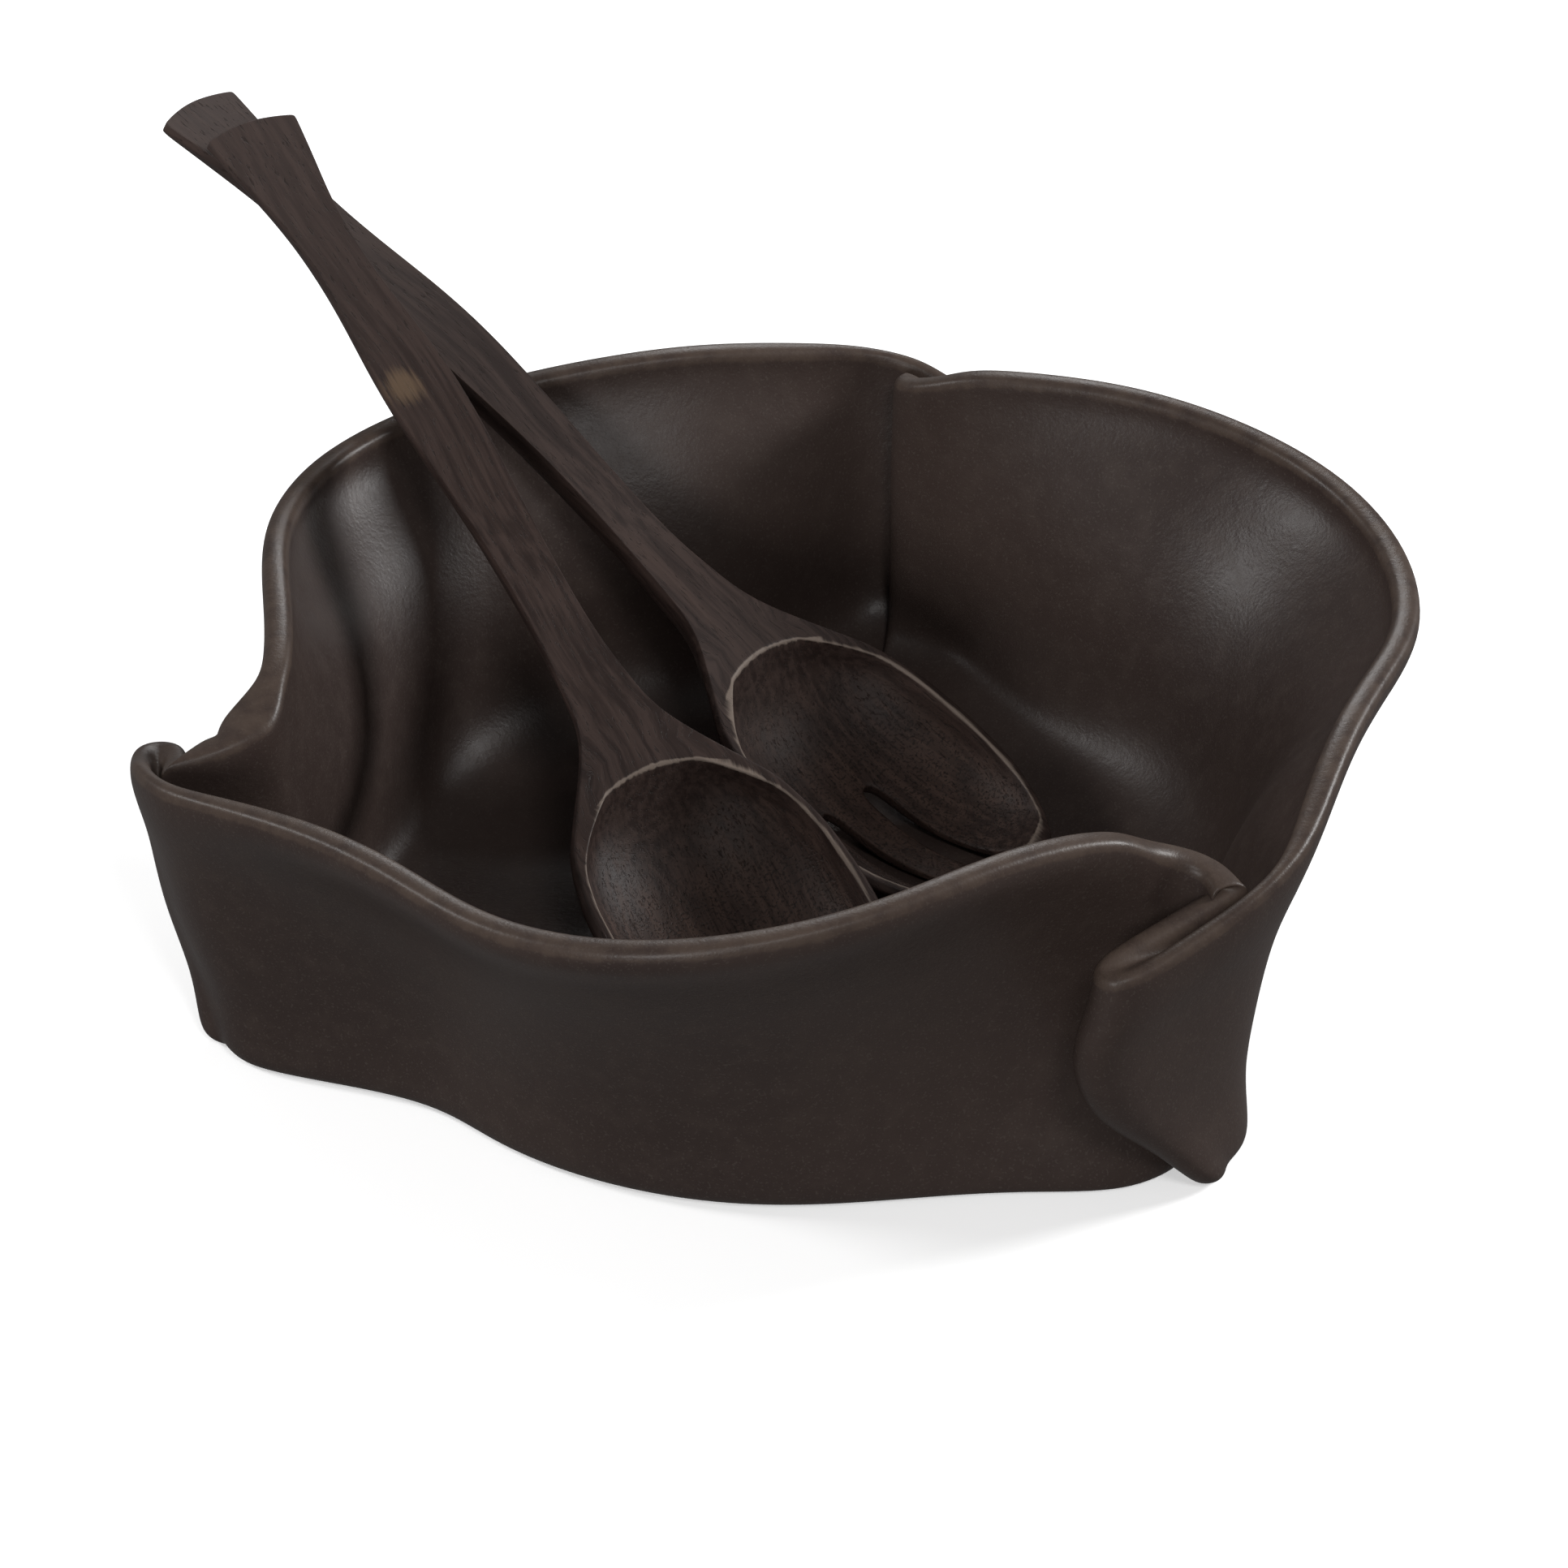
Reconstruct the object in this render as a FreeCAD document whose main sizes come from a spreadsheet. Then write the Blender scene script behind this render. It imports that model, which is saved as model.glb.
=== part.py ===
import FreeCAD, Part
import math
import os
from FreeCAD import Vector, Rotation, Placement

# A folded stoneware salad bowl with its two wooden servers, a spoon and a fork.
# The bowl is one slab of clay gathered by three knife pleats. Seen from above the
# wall runs clockwise: each panel swings out, passes the start of the next panel,
# and is folded back on itself, so three flaps stand out round the rim.
# Frame: +Z up, origin at the middle of the bowl's foot. Millimetres.

doc = FreeCAD.newDocument("folded_salad_bowl")
sheet = doc.addObject("Spreadsheet::Sheet", "Sizes")

SIZES = [
    # bowl
    ("rim_radius", 150.0),        # widest reach of the wall's middle line at the rim
    ("rim_height", 101.0),        # top of the rim at its highest swell
    ("foot_radius", 112.0),       # foot between the pleat corners
    ("corner_radius", 147.0),     # foot at a pleat corner
    ("belly_radius", 122.0),      # outside of the wall at half height
    ("wall_thickness", 7.5),
    ("floor_thickness", 9.0),
    ("left_flap_reach", 7.0),     # degrees that each flap runs past its inner turn
    ("back_flap_reach", 10.0),
    ("front_flap_reach", 18.0),
    ("left_flap_fullness", 0.72), # how far each flap still runs at the belly, as a share
    ("back_flap_fullness", 0.72), # of its own reach
    ("front_flap_fullness", 0.90),
    ("left_flap_standout", 13.0), # the left flap stands out this much beyond the others
    ("first_pleat_angle", -42.4), # where the inner turn of the first pleat stands
    # servers
    ("server_length", 305.0),
    ("scoop_width", 64.0),
    ("scoop_length", 96.0),
    ("scoop_depth", 21.0),
    ("scoop_wall", 3.6),
    ("scoop_land", 2.4),          # flat land between the hollow and the outside
    ("edge_height", 1.8),         # the arris all round, before the underside rounds away
    ("handle_neck_width", 13.2),
    ("handle_swell_width", 18.6),
    ("handle_end_width", 23.2),
    ("handle_thickness", 10.5),
    ("handle_rise", 9.0),         # the handle lies this much above the scoop's edge
    ("tine_gap", 5.2),
    ("tine_gap_end", 8.0),
    ("tine_pitch", 16.5),
    ("tine_length", 51.5),
    # how the servers lie: where the tip of each scoop stands on the floor, which
    # way its handle heads in plan, and its roll about its own length
    ("spoon_tip_x", 10.5),
    ("spoon_tip_y", -70.0),
    ("spoon_heading", 123.2),
    ("spoon_roll", -3.0),
    ("fork_tip_x", 56.4),
    ("fork_tip_y", -0.5),
    ("fork_heading", 140.2),
    ("fork_roll", 1.3),
    ("rest_clearance", 1.0),
]
for row, (name, value) in enumerate(SIZES, start=1):
    sheet.set("A%d" % row, name)
    sheet.set("B%d" % row, repr(value))
    sheet.setAlias("B%d" % row, name)
doc.recompute()


def size(name):
    return float(sheet.get(name))


# ---------------------------------------------------------------- surfaces
def net_face(rows):
    """Smooth closed skin over rings of control points, the rings open at both ends."""
    rows_n, ring_n = len(rows), len(rows[0])
    poles = [[rows[j][i] for j in range(rows_n)] for i in range(ring_n)]
    inner = rows_n - 4
    v_knots = [float(k) for k in range(inner + 2)]
    v_mults = [4] + [1] * inner + [4]
    u_knots = [float(k) for k in range(ring_n + 1)]
    u_mults = [1] * (ring_n + 1)
    surface = Part.BSplineSurface()
    surface.buildFromPolesMultsKnots(poles, u_mults, v_mults, u_knots, v_knots,
                                     True, False, 3, 3)
    return surface.toShape()


def net_solid(rows):
    """The same skin closed by a flat face at each end, as a solid."""
    skin = net_face(rows)
    caps = []
    for edge in skin.Edges:
        if edge.isClosed():
            caps.append(Part.Face(Part.Wire([edge])))
    shell = Part.makeShell([skin] + caps)
    shell.sewShape()
    solid = Part.makeSolid(Part.Shell(shell.Faces))
    if solid.Volume < 0:
        solid.reverse()
    return solid


def polar(angle, radius, height=0.0):
    a = math.radians(angle)
    return Vector(radius * math.cos(a), radius * math.sin(a), height)


def mix(a, b, share):
    return a + (b - a) * share


# ---------------------------------------------------------------- the bowl
RIM_R, FOOT_R = size("rim_radius"), size("foot_radius")
CORNER_R, BELLY_R = size("corner_radius"), size("belly_radius")
RIM_H = size("rim_height")
WALL, FLOOR = size("wall_thickness"), size("floor_thickness")
REACH = (size("left_flap_reach"), size("back_flap_reach"), size("front_flap_reach"))
FULLNESS = (size("left_flap_fullness"), size("back_flap_fullness"), size("front_flap_fullness"))
FIRST = size("first_pleat_angle")

# One panel, from the inner turn of its first pleat (0 degrees) to the next (120):
# angle, reach of the rim, of the belly and of the foot as shares of their own
# radius, and the height of the rim as a share of the highest swell.
PANEL = [
    (6.0, 0.860, 1.030, 1.000, 0.930),
    (16.0, 0.840, 0.955, 0.500, 1.010),
    (28.0, 0.872, 0.925, 0.150, 1.030),
    (40.0, 0.935, 0.945, 0.000, 1.010),
    (52.0, 0.985, 0.975, 0.000, 0.985),
    (64.0, 1.000, 0.980, 0.000, 0.950),
    (76.0, 0.978, 0.955, 0.000, 0.930),
    (88.0, 0.920, 0.950, 0.030, 0.935),
    (100.0, 0.905, 1.015, 0.300, 0.935),
    (110.0, 0.945, 1.100, 0.700, 0.890),
]
# how far each panel's rim swells above or below the others, front, left and right
SWELL = (4.0, -10.0, -5.0)
# how far the middle of each panel bows out beyond the others
BOW = (0.0, -2.5, 6.0)
# how far the flap at the end of each panel stands out beyond the others
STANDS_OUT = (size("left_flap_standout"), 0.0, 0.0)


class Level:
    """One ring of the wall: 0 is the foot, 1 the belly and 2 the rim."""

    def __init__(self, at):
        self.at = at

    def pick(self, foot, belly, rim):
        if self.at <= 1.0:
            return mix(foot, belly, self.at)
        return mix(belly, rim, self.at - 1.0)


def panel_points(k, level, side):
    """Ten control points along one panel; side is +1 outside and -1 inside."""
    points = []
    turn = FIRST - 120.0 * k
    for angle, rim, belly, corner, height in PANEL:
        foot = mix(FOOT_R, CORNER_R - 6.0, corner) - WALL / 2
        r = level.pick(foot, belly * BELLY_R - WALL / 2, rim * RIM_R)
        spread = STANDS_OUT[k] * max(0.0, angle - 85.0) / 35.0
        r += spread * level.pick(0.3, 0.9, 1.0)
        r += BOW[k] * math.sin(math.radians(angle * 1.5)) * level.pick(0.0, 0.6, 1.0)
        rise = RIM_H * height + SWELL[k] * math.sin(math.radians(min(angle, 90.0) * 2))
        points.append((turn - angle, r + side * WALL / 2, rise))
    return points


def flap_points(k, level, side):
    """Eight control points round the flap outside, or down its crease inside."""
    turn = FIRST - 120.0 * (k + 1)
    out = STANDS_OUT[k] * level.pick(0.3, 0.9, 1.0)
    root_r = level.pick(CORNER_R - 8.0, 1.150 * BELLY_R, 0.965 * RIM_R) + out
    tip_r = level.pick(CORNER_R - 3.5, 1.160 * BELLY_R, 0.940 * RIM_R) + out
    reach = level.pick(1.2, FULLNESS[k] * REACH[k], REACH[k] - 3.0)
    half = level.pick(2.6, WALL * 0.95, WALL)
    inner_r = level.pick(CORNER_R - 16.0, 1.055 * BELLY_R, 0.875 * RIM_R)
    root, tip = polar(turn + 0.5, root_r), polar(turn - reach, tip_r)
    along = (tip - root).normalize()
    outward = Vector(-along.y, along.x, 0)
    if outward.dot(root) < 0:
        outward = outward * -1
    run = (tip - root).Length
    if side > 0:
        end = 1.0 + 1.1 * half / run
        spots = [
            (0.25, 1.00, 0.83), (0.65, 1.02, 0.78), (1.00, 0.90, 0.755), (end, 0.0, 0.745),
            (1.00, -0.90, 0.755), (0.60, -1.00, 0.775),
        ]
        points = []
        for share, lift, height in spots:
            p = root + along * (run * share) + outward * (half * lift)
            points.append((p, RIM_H * height))
        pocket = level.pick(0.30, 0.9, 1.0)
        p = polar(turn - 3.6 * pocket - 0.6, mix(inner_r, root_r - half, 0.75))
        points.append((p, RIM_H * 0.80))
        p = polar(turn - 2.9 * pocket - 0.6, mix(inner_r, root_r - half, 0.25) + WALL * 0.4)
        points.append((p, RIM_H * 0.825))
        return points
    crease_r = root_r - level.pick(1.0, 0.5, 0.5)
    inside = [
        (3.2, crease_r, 0.86), (1.4, crease_r, 0.845), (0.6, crease_r - 0.2, 0.835),
        (0.3, crease_r - 1.2, 0.83), (0.2, crease_r - 2.6, 0.825), (0.1, crease_r - 5.0, 0.82),
        (0.0, mix(inner_r, crease_r, 0.35), 0.82), (-0.9, inner_r - WALL * 0.35, 0.84),
    ]
    return [(polar(turn + a, r), RIM_H * z) for a, r, z in inside]


def ring(level, side, height, inset=0.0, lift=0.0):
    """A closed ring of control points right round the bowl."""
    points = []
    for k in range(3):
        for angle, r, rise in panel_points(k, level, side):
            points.append((polar(angle, r), rise))
        points += flap_points(k, level, side)
    placed = []
    for p, rise in points:
        z = height(rise) + lift
        r = math.hypot(p.x, p.y)
        share = (r - inset) / r
        placed.append(Vector(p.x * share, p.y * share, z))
    return placed


def flat(z):
    return lambda rise: z


def share_of(part):
    return lambda rise: part * rise


def below(drop):
    return lambda rise: rise - drop


def make_bowl():
    foot, low, belly, upper, rim = Level(0.0), Level(0.55), Level(1.0), Level(1.35), Level(2.0)
    rows = [
        ring(foot, 1, flat(0.0), inset=14.0),
        ring(foot, 1, flat(0.0), inset=4.0),
        ring(foot, 1, flat(3.5), inset=-1.5),
        ring(low, 1, share_of(0.22)),
        ring(belly, 1, share_of(0.45)),
        ring(upper, 1, share_of(0.70)),
        ring(Level(1.82), 1, below(13.0)),
        ring(rim, 1, below(4.0)),
        ring(rim, 1, below(0.0), inset=WALL * 0.22, lift=1.2),
        ring(rim, -1, below(0.0), inset=-WALL * 0.22, lift=1.2),
        ring(rim, -1, below(4.0)),
        ring(Level(1.82), -1, below(13.0)),
        ring(upper, -1, share_of(0.70)),
        ring(belly, -1, share_of(0.46)),
        ring(low, -1, share_of(0.26)),
        ring(foot, -1, flat(FLOOR + 2.5), inset=3.0),
        ring(foot, -1, flat(FLOOR), inset=12.0),
        ring(foot, -1, flat(FLOOR), inset=24.0),
    ]
    return net_solid(rows)


bowl = doc.addObject("Part::Feature", "bowl")
bowl.Shape = make_bowl()
bowl.Label = "bowl"


# ---------------------------------------------------------------- the servers
LENGTH = size("server_length")
SCOOP_W, SCOOP_L, SCOOP_D = size("scoop_width"), size("scoop_length"), size("scoop_depth")
SCOOP_WALL = size("scoop_wall")
NECK_W, SWELL_W, END_W = size("handle_neck_width"), size("handle_swell_width"), size("handle_end_width")
THICK, RISE = size("handle_thickness"), size("handle_rise")
EDGE, LAND = size("edge_height"), size("scoop_land")

# stations along a server from the tip of the scoop: half width of the blank, depth
# of its round underside and height of its face
SCOOP_OUTLINE = [                 # share of the scoop's length, width and depth, lift of the face
    (-0.005, 0.10, 0.12, 0.22), (0.00, 0.34, 0.20, 0.21), (0.05, 0.62, 0.36, 0.17),
    (0.15, 0.86, 0.62, 0.09), (0.30, 1.04, 0.90, 0.02), (0.47, 1.08, 1.03, 0.00),
    (0.64, 1.05, 1.02, 0.00), (0.79, 0.92, 0.88, 0.00), (0.91, 0.70, 0.72, 0.01),
    (1.00, 0.47, 0.61, 0.03), (1.09, 0.32, 0.54, 0.07),
]


def handle_outline():
    """Half width, depth and face height from the neck to the end of the handle."""
    run = LENGTH - SCOOP_L
    return [
        (SCOOP_L + 0.16 * run, NECK_W * 0.55, THICK * 0.96, RISE * 0.26),
        (SCOOP_L + 0.26 * run, NECK_W * 0.52, THICK * 0.98, RISE * 0.56),
        (SCOOP_L + 0.38 * run, NECK_W * 0.60, THICK, RISE * 0.86),
        (SCOOP_L + 0.50 * run, SWELL_W * 0.53, THICK, RISE),
        (SCOOP_L + 0.60 * run, SWELL_W * 0.51, THICK, RISE * 1.02),
        (SCOOP_L + 0.71 * run, NECK_W * 0.52, THICK * 0.95, RISE * 0.98),
        (SCOOP_L + 0.82 * run, NECK_W * 0.52, THICK * 0.9, RISE * 0.90),
        (SCOOP_L + 0.92 * run, END_W * 0.46, THICK * 0.82, RISE * 0.80),
        (SCOOP_L + 0.985 * run, END_W * 0.55, THICK * 0.76, RISE * 0.72),
        (LENGTH, END_W * 0.55, THICK * 0.72, RISE * 0.70),
        (LENGTH + 0.6, END_W * 0.36, THICK * 0.42, RISE * 0.70 - THICK * 0.16),
    ]


def server_ring(y, half, depth, face, top=0.0):
    """Flat on top, round beneath: twelve control points in a plane across the server."""
    edge = min(EDGE, depth * 0.3)
    shape = [
        (0.0, face + top), (0.52, face + top), (0.97, face), (1.04, face - edge),
        (0.97, face - 0.42 * depth), (0.66, face - 0.88 * depth), (0.25, face - 1.03 * depth),
    ]
    points = [Vector(half * x, y, z) for x, z in shape]
    points += [Vector(-half * x, y, z) for x, z in reversed(shape[1:])]
    return points


def make_blank():
    rows = [server_ring(s * SCOOP_L, w * SCOOP_W / 2, d * SCOOP_D, lift * SCOOP_D)
            for s, w, d, lift in SCOOP_OUTLINE]
    rows += [server_ring(*station) for station in handle_outline()]
    return net_solid(rows)


def make_hollow():
    """What is carved out of the scoop, standing proud of its face."""
    carve = [
        (0.045, 0.12, 0.16, 0.19), (0.05, 0.42, 0.26, 0.17), (0.11, 0.72, 0.52, 0.12),
        (0.20, 0.92, 0.78, 0.07), (0.33, 1.06, 0.98, 0.02), (0.48, 1.09, 1.05, 0.00),
        (0.63, 1.06, 1.02, 0.00), (0.76, 0.94, 0.86, 0.00), (0.86, 0.74, 0.58, 0.00),
        (0.905, 0.44, 0.30, 0.00), (0.91, 0.12, 0.12, 0.00),
    ]
    proud = 4.0
    rows = []
    for s, w, d, lift in carve:
        half = w * (SCOOP_W / 2 - LAND)
        depth = d * (SCOOP_D - SCOOP_WALL)
        face = lift * SCOOP_D
        shape = [(0.0, face + proud), (0.6, face + proud), (1.0, face + proud), (1.03, face),
                 (0.94, face - 0.46 * depth), (0.62, face - 0.90 * depth), (0.24, face - 1.04 * depth)]
        points = [Vector(half * x, s * SCOOP_L, z) for x, z in shape]
        points += [Vector(-half * x, s * SCOOP_L, z) for x, z in reversed(shape[1:])]
        rows.append(points)
    return net_solid(rows)


def solid_feature(name, shape):
    feature = doc.addObject("Part::Feature", name)
    feature.Shape = shape
    return feature


def cut(name, base, tool):
    result = doc.addObject("Part::Cut", name)
    result.Base, result.Tool = base, tool
    result.Label = name
    return result


def frame(tip, heading, tilt, roll):
    """Stand a server in the bowl: heading in plan, tilt above level, roll about its length."""
    turn = Rotation(Vector(0, 0, 1), heading - 90.0)
    turn = turn.multiply(Rotation(Vector(1, 0, 0), tilt))
    turn = turn.multiply(Rotation(Vector(0, 1, 0), roll))
    return Placement(tip, turn)


def rim_crest():
    """The crest of the rim, all the way round."""
    skin = max(bowl.Shape.Faces, key=lambda f: f.Area)
    u0, u1, v0, v1 = skin.ParameterRange
    crest = []
    for i in range(360):
        u = u0 + (u1 - u0) * i / 360.0
        column = [skin.valueAt(u, v0 + (v1 - v0) * j / 60.0) for j in range(20, 45)]
        crest.append(max(column, key=lambda p: p.z))
    return crest


def handle_face(place):
    """The upper face of a server's handle where it stands."""
    stations = handle_outline()
    spots = []
    for (y0, half0, _d0, face0), (y1, half1, _d1, face1) in zip(stations, stations[1:]):
        for i in range(8):
            share = i / 8.0
            half, y, face = mix(half0, half1, share), mix(y0, y1, share), mix(face0, face1, share)
            spots += [place.multVec(Vector(half * j / 3.0, y, face)) for j in range(-3, 4)]
    return spots


def rest(tip_x, tip_y, heading, roll, under):
    """Lean a server: its scoop down on the floor and its handle over what lies under it."""
    clear = size("rest_clearance")
    scoop = [Vector(0, s * SCOOP_L, (lift - d) * SCOOP_D) for s, w, d, lift in SCOOP_OUTLINE]
    handle = [(y, half, face - depth) for y, half, depth, face in handle_outline()]
    steep, shallow = 50.0, 2.0
    for _step in range(30):
        tilt = (steep + shallow) / 2
        place = frame(Vector(tip_x, tip_y, 0), heading, tilt, roll)
        drop = min(place.multVec(p).z for p in scoop)
        place.Base = place.Base + Vector(0, 0, FLOOR + clear - drop)
        back = place.inverse()
        room = 1000.0
        for p in under:
            q = back.multVec(p)
            for (y0, half0, low0), (y1, half1, low1) in zip(handle, handle[1:]):
                if y0 <= q.y < y1 and abs(q.x) < max(half0, half1):
                    share = (q.y - y0) / (y1 - y0)
                    room = min(room, mix(low0, low1, share) - q.z)
        if room < clear:
            shallow = tilt
        else:
            steep = tilt
    return place


CREST = rim_crest()
fork_dish = cut("fork_dish", solid_feature("fork_blank", make_blank()),
                solid_feature("fork_hollow", make_hollow()))
slots = []
for n, where in enumerate((-0.5, 0.5)):
    slot = doc.addObject("Part::Wedge", "tine_gap_%d" % (n + 1))
    middle = "%s * Sizes.tine_pitch" % where
    for prop, side, width in (("Xmin", "-", "tine_gap_end"), ("Xmax", "+", "tine_gap_end"),
                              ("X2min", "-", "tine_gap"), ("X2max", "+", "tine_gap")):
        slot.setExpression(prop, "%s %s 0.5 * Sizes.%s" % (middle, side, width))
    slot.setExpression("Ymin", "-10")
    slot.setExpression("Ymax", "Sizes.tine_length")
    for prop, expr in (("Zmin", "-2 * Sizes.scoop_depth"), ("Zmax", "Sizes.scoop_depth"),
                       ("Z2min", "-2 * Sizes.scoop_depth"), ("Z2max", "Sizes.scoop_depth")):
        slot.setExpression(prop, expr)
    slots.append(slot)
gaps = doc.addObject("Part::MultiFuse", "tine_gaps")
gaps.Shapes = slots
fork = cut("slotted_server", fork_dish, gaps)
fork.Placement = rest(size("fork_tip_x"), size("fork_tip_y"), size("fork_heading"),
                      size("fork_roll"), CREST)

# the spoon lies over the fork, its handle across the other's
spoon = cut("serving_spoon", solid_feature("spoon_blank", make_blank()),
            solid_feature("spoon_hollow", make_hollow()))
UNDER = CREST + handle_face(fork.Placement)
across = math.radians(size("spoon_heading") + 90.0)
aside, apart = 0.0, 0.0
while apart < size("rest_clearance"):
    # wider scoops would touch, so the spoon is slid aside, square to its handle
    spoon.Placement = rest(size("spoon_tip_x") + aside * math.cos(across),
                           size("spoon_tip_y") + aside * math.sin(across),
                           size("spoon_heading"), size("spoon_roll"), UNDER)
    doc.recompute()
    apart = spoon.Shape.distToShape(fork.Shape)[0]
    aside += 1.0

PARTS = [bowl, spoon, fork]

doc.recompute()
for obj in doc.Objects:
    if "Invalid" in obj.State or "Error" in obj.State:
        raise RuntimeError("%s did not compute" % obj.Name)
os.makedirs("parts", exist_ok=True)
for obj in PARTS:
    if obj.Shape.isNull() or not obj.Shape.isValid():
        raise RuntimeError("%s is not a sound shape" % obj.Label)
    obj.Shape.exportStep("parts/%s.step" % obj.Label)
    print(obj.Label, round(obj.Shape.Volume / 1000.0, 1), "cm3", obj.Shape.BoundBox)
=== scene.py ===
# %% [markdown]
# A folded stoneware salad bowl with two wooden servers.
# The frame comes first: it brings in the three solids of the set, each already in
# its place, and it names the bodies that move. Everything made below is drawn to
# their sizes, so nothing has to be fitted by eye.

# %% Load the frame
import math

import bmesh
import bpy
from mathutils import Matrix, Quaternion, Vector


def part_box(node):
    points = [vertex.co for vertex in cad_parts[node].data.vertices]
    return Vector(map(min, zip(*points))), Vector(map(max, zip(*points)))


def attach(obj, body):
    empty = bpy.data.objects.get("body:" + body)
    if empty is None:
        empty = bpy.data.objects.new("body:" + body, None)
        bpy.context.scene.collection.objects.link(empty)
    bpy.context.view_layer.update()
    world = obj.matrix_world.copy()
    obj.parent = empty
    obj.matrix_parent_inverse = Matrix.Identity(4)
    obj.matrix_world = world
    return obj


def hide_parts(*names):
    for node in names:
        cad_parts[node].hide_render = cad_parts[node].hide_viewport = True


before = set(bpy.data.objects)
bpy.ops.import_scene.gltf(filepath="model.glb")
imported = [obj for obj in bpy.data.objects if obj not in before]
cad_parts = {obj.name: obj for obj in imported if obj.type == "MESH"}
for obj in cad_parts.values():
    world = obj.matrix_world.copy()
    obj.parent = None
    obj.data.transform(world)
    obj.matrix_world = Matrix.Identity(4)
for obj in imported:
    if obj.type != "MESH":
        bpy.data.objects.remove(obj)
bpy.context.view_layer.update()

for name in sorted(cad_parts):
    low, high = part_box(name)
    print(name, [round(1000 * s) for s in high - low], "mm")

# %% [markdown]
# The camera belongs to the studio, not to the set. A short lens from close by would
# swell the front of the bowl, so a long one stands well back, and the foot and the
# rim keep their proportions. It looks down by a little over a third of a right
# angle, where the hollow of the bowl and both servers are seen.

# %% Camera
MM = 0.001                       # the sizes of the set are written in millimetres
CAMERA_AWAY, CAMERA_UP = 1.5, 35.5       # metres from the set, degrees above the table
CAMERA_AIM = (-0.001, 0.0, 0.047)
CAMERA_LENS, FAR_CLIP = 137.0, 30.0


def look_at(thing, target):
    """Turn a camera or lamp towards a point."""
    thing.rotation_euler = (Vector(target) - thing.location).to_track_quat("-Z", "Y").to_euler()


def add_camera():
    camera = bpy.data.objects.new("camera", bpy.data.cameras.new("camera"))
    bpy.context.scene.collection.objects.link(camera)
    up = math.radians(CAMERA_UP)
    camera.location = (0.0, -CAMERA_AWAY * math.cos(up), CAMERA_AWAY * math.sin(up))
    look_at(camera, CAMERA_AIM)
    camera.data.lens = CAMERA_LENS
    camera.data.clip_end = FAR_CLIP
    bpy.context.scene.camera = camera
    return camera


camera = add_camera()
print("camera at", [round(c, 3) for c in camera.location], "lens", camera.data.lens)

# %% [markdown]
# The set stands on a white table. A white table throws much light back up, which
# flattens the folds of a dark bowl, so this one glows a little by itself to stay
# white and is kept from lighting the set. Five lamps do that instead. They are small
# for their distance, which keeps the highlights on the lips crisp, and a weak even
# sky fills the shadows.

# %% Table and lamps
TABLE_HALF, TABLE_GLOW = 6.0, 0.42
SKY = 0.17
LAMP_AIM = (0.0, 0.0, 0.05)
LAMPS = [                        # name, place, width and power in watts
    ("key", (1.45, 0.45, 0.72), 0.5, 24.0),
    ("fill", (-1.3, 0.1, 0.85), 0.35, 8.0),
    ("back", (0.1, 1.5, 0.9), 0.6, 7.0),
    ("front", (0.3, -1.4, 1.5), 0.4, 9.0),
    ("low", (-0.5, -1.5, 0.55), 0.5, 10.0),
]


def add_floor():
    mesh = bpy.data.meshes.new("floor")
    sheet = bmesh.new()
    bmesh.ops.create_grid(sheet, x_segments=1, y_segments=1, size=TABLE_HALF)
    sheet.to_mesh(mesh)
    sheet.free()
    floor = bpy.data.objects.new("floor", mesh)
    bpy.context.scene.collection.objects.link(floor)
    paint = bpy.data.materials.new("floor_white")
    paint.use_nodes = True
    shader = paint.node_tree.nodes["Principled BSDF"]
    shader.inputs["Base Color"].default_value = (0.93, 0.93, 0.93, 1.0)
    shader.inputs["Roughness"].default_value = 0.9
    shader.inputs["Emission Color"].default_value = (1.0, 1.0, 1.0, 1.0)
    shader.inputs["Emission Strength"].default_value = TABLE_GLOW
    floor.data.materials.append(paint)
    floor.visible_diffuse = floor.visible_glossy = False
    return floor


def add_lamp(name, place, width, power):
    lamp = bpy.data.objects.new(name, bpy.data.lights.new(name, "AREA"))
    lamp.data.shape = "DISK"
    lamp.data.size = width
    lamp.data.energy = power
    lamp.location = place
    look_at(lamp, LAMP_AIM)
    bpy.context.scene.collection.objects.link(lamp)
    return lamp


def add_sky(strength):
    world = bpy.data.worlds.new("studio")
    world.use_nodes = True
    backdrop = world.node_tree.nodes["Background"]
    backdrop.inputs["Color"].default_value = (1, 1, 1, 1)
    backdrop.inputs["Strength"].default_value = strength
    bpy.context.scene.world = world


floor = add_floor()
add_sky(SKY)
for name, place, width, power in LAMPS:
    add_lamp(name, place, width, power)
bpy.context.scene.view_settings.view_transform = "Standard"
print("stage has", len(bpy.data.lights), "lamps")

# %% [markdown]
# The bowl is one slab of clay. Its wall runs clockwise seen from above: three times
# it swings out, passes the start of the next panel, and is folded back on itself,
# the way cloth is pressed into a knife pleat. The flap is therefore two layers lying
# face to face, with a groove between their round lips, and a dark pocket is left
# between the flap and the panel behind it.
#
# A lathe can't make that, so the wall is drawn as a ribbon: one closed loop of
# points on its outer face and one on its inner face, in pairs across the clay. The
# loop is pulled up from the foot to the rim, over the lip and down the inside, one
# extrusion at a time, and a subdivision surface turns the coarse cage into clay.

# %% Sizes of the bowl
RIM_R, RIM_H = 150.0, 101.0
FOOT_R, CORNER_R, BELLY_R = 112.0, 147.0, 122.0
WALL, FLOOR = 7.5, 9.0
PANELS = 3
PANEL_TURN = 360.0 / PANELS      # degrees from one inner turn to the next
FIRST_TURN = -42.4               # where the first inner turn stands, in degrees

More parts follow.
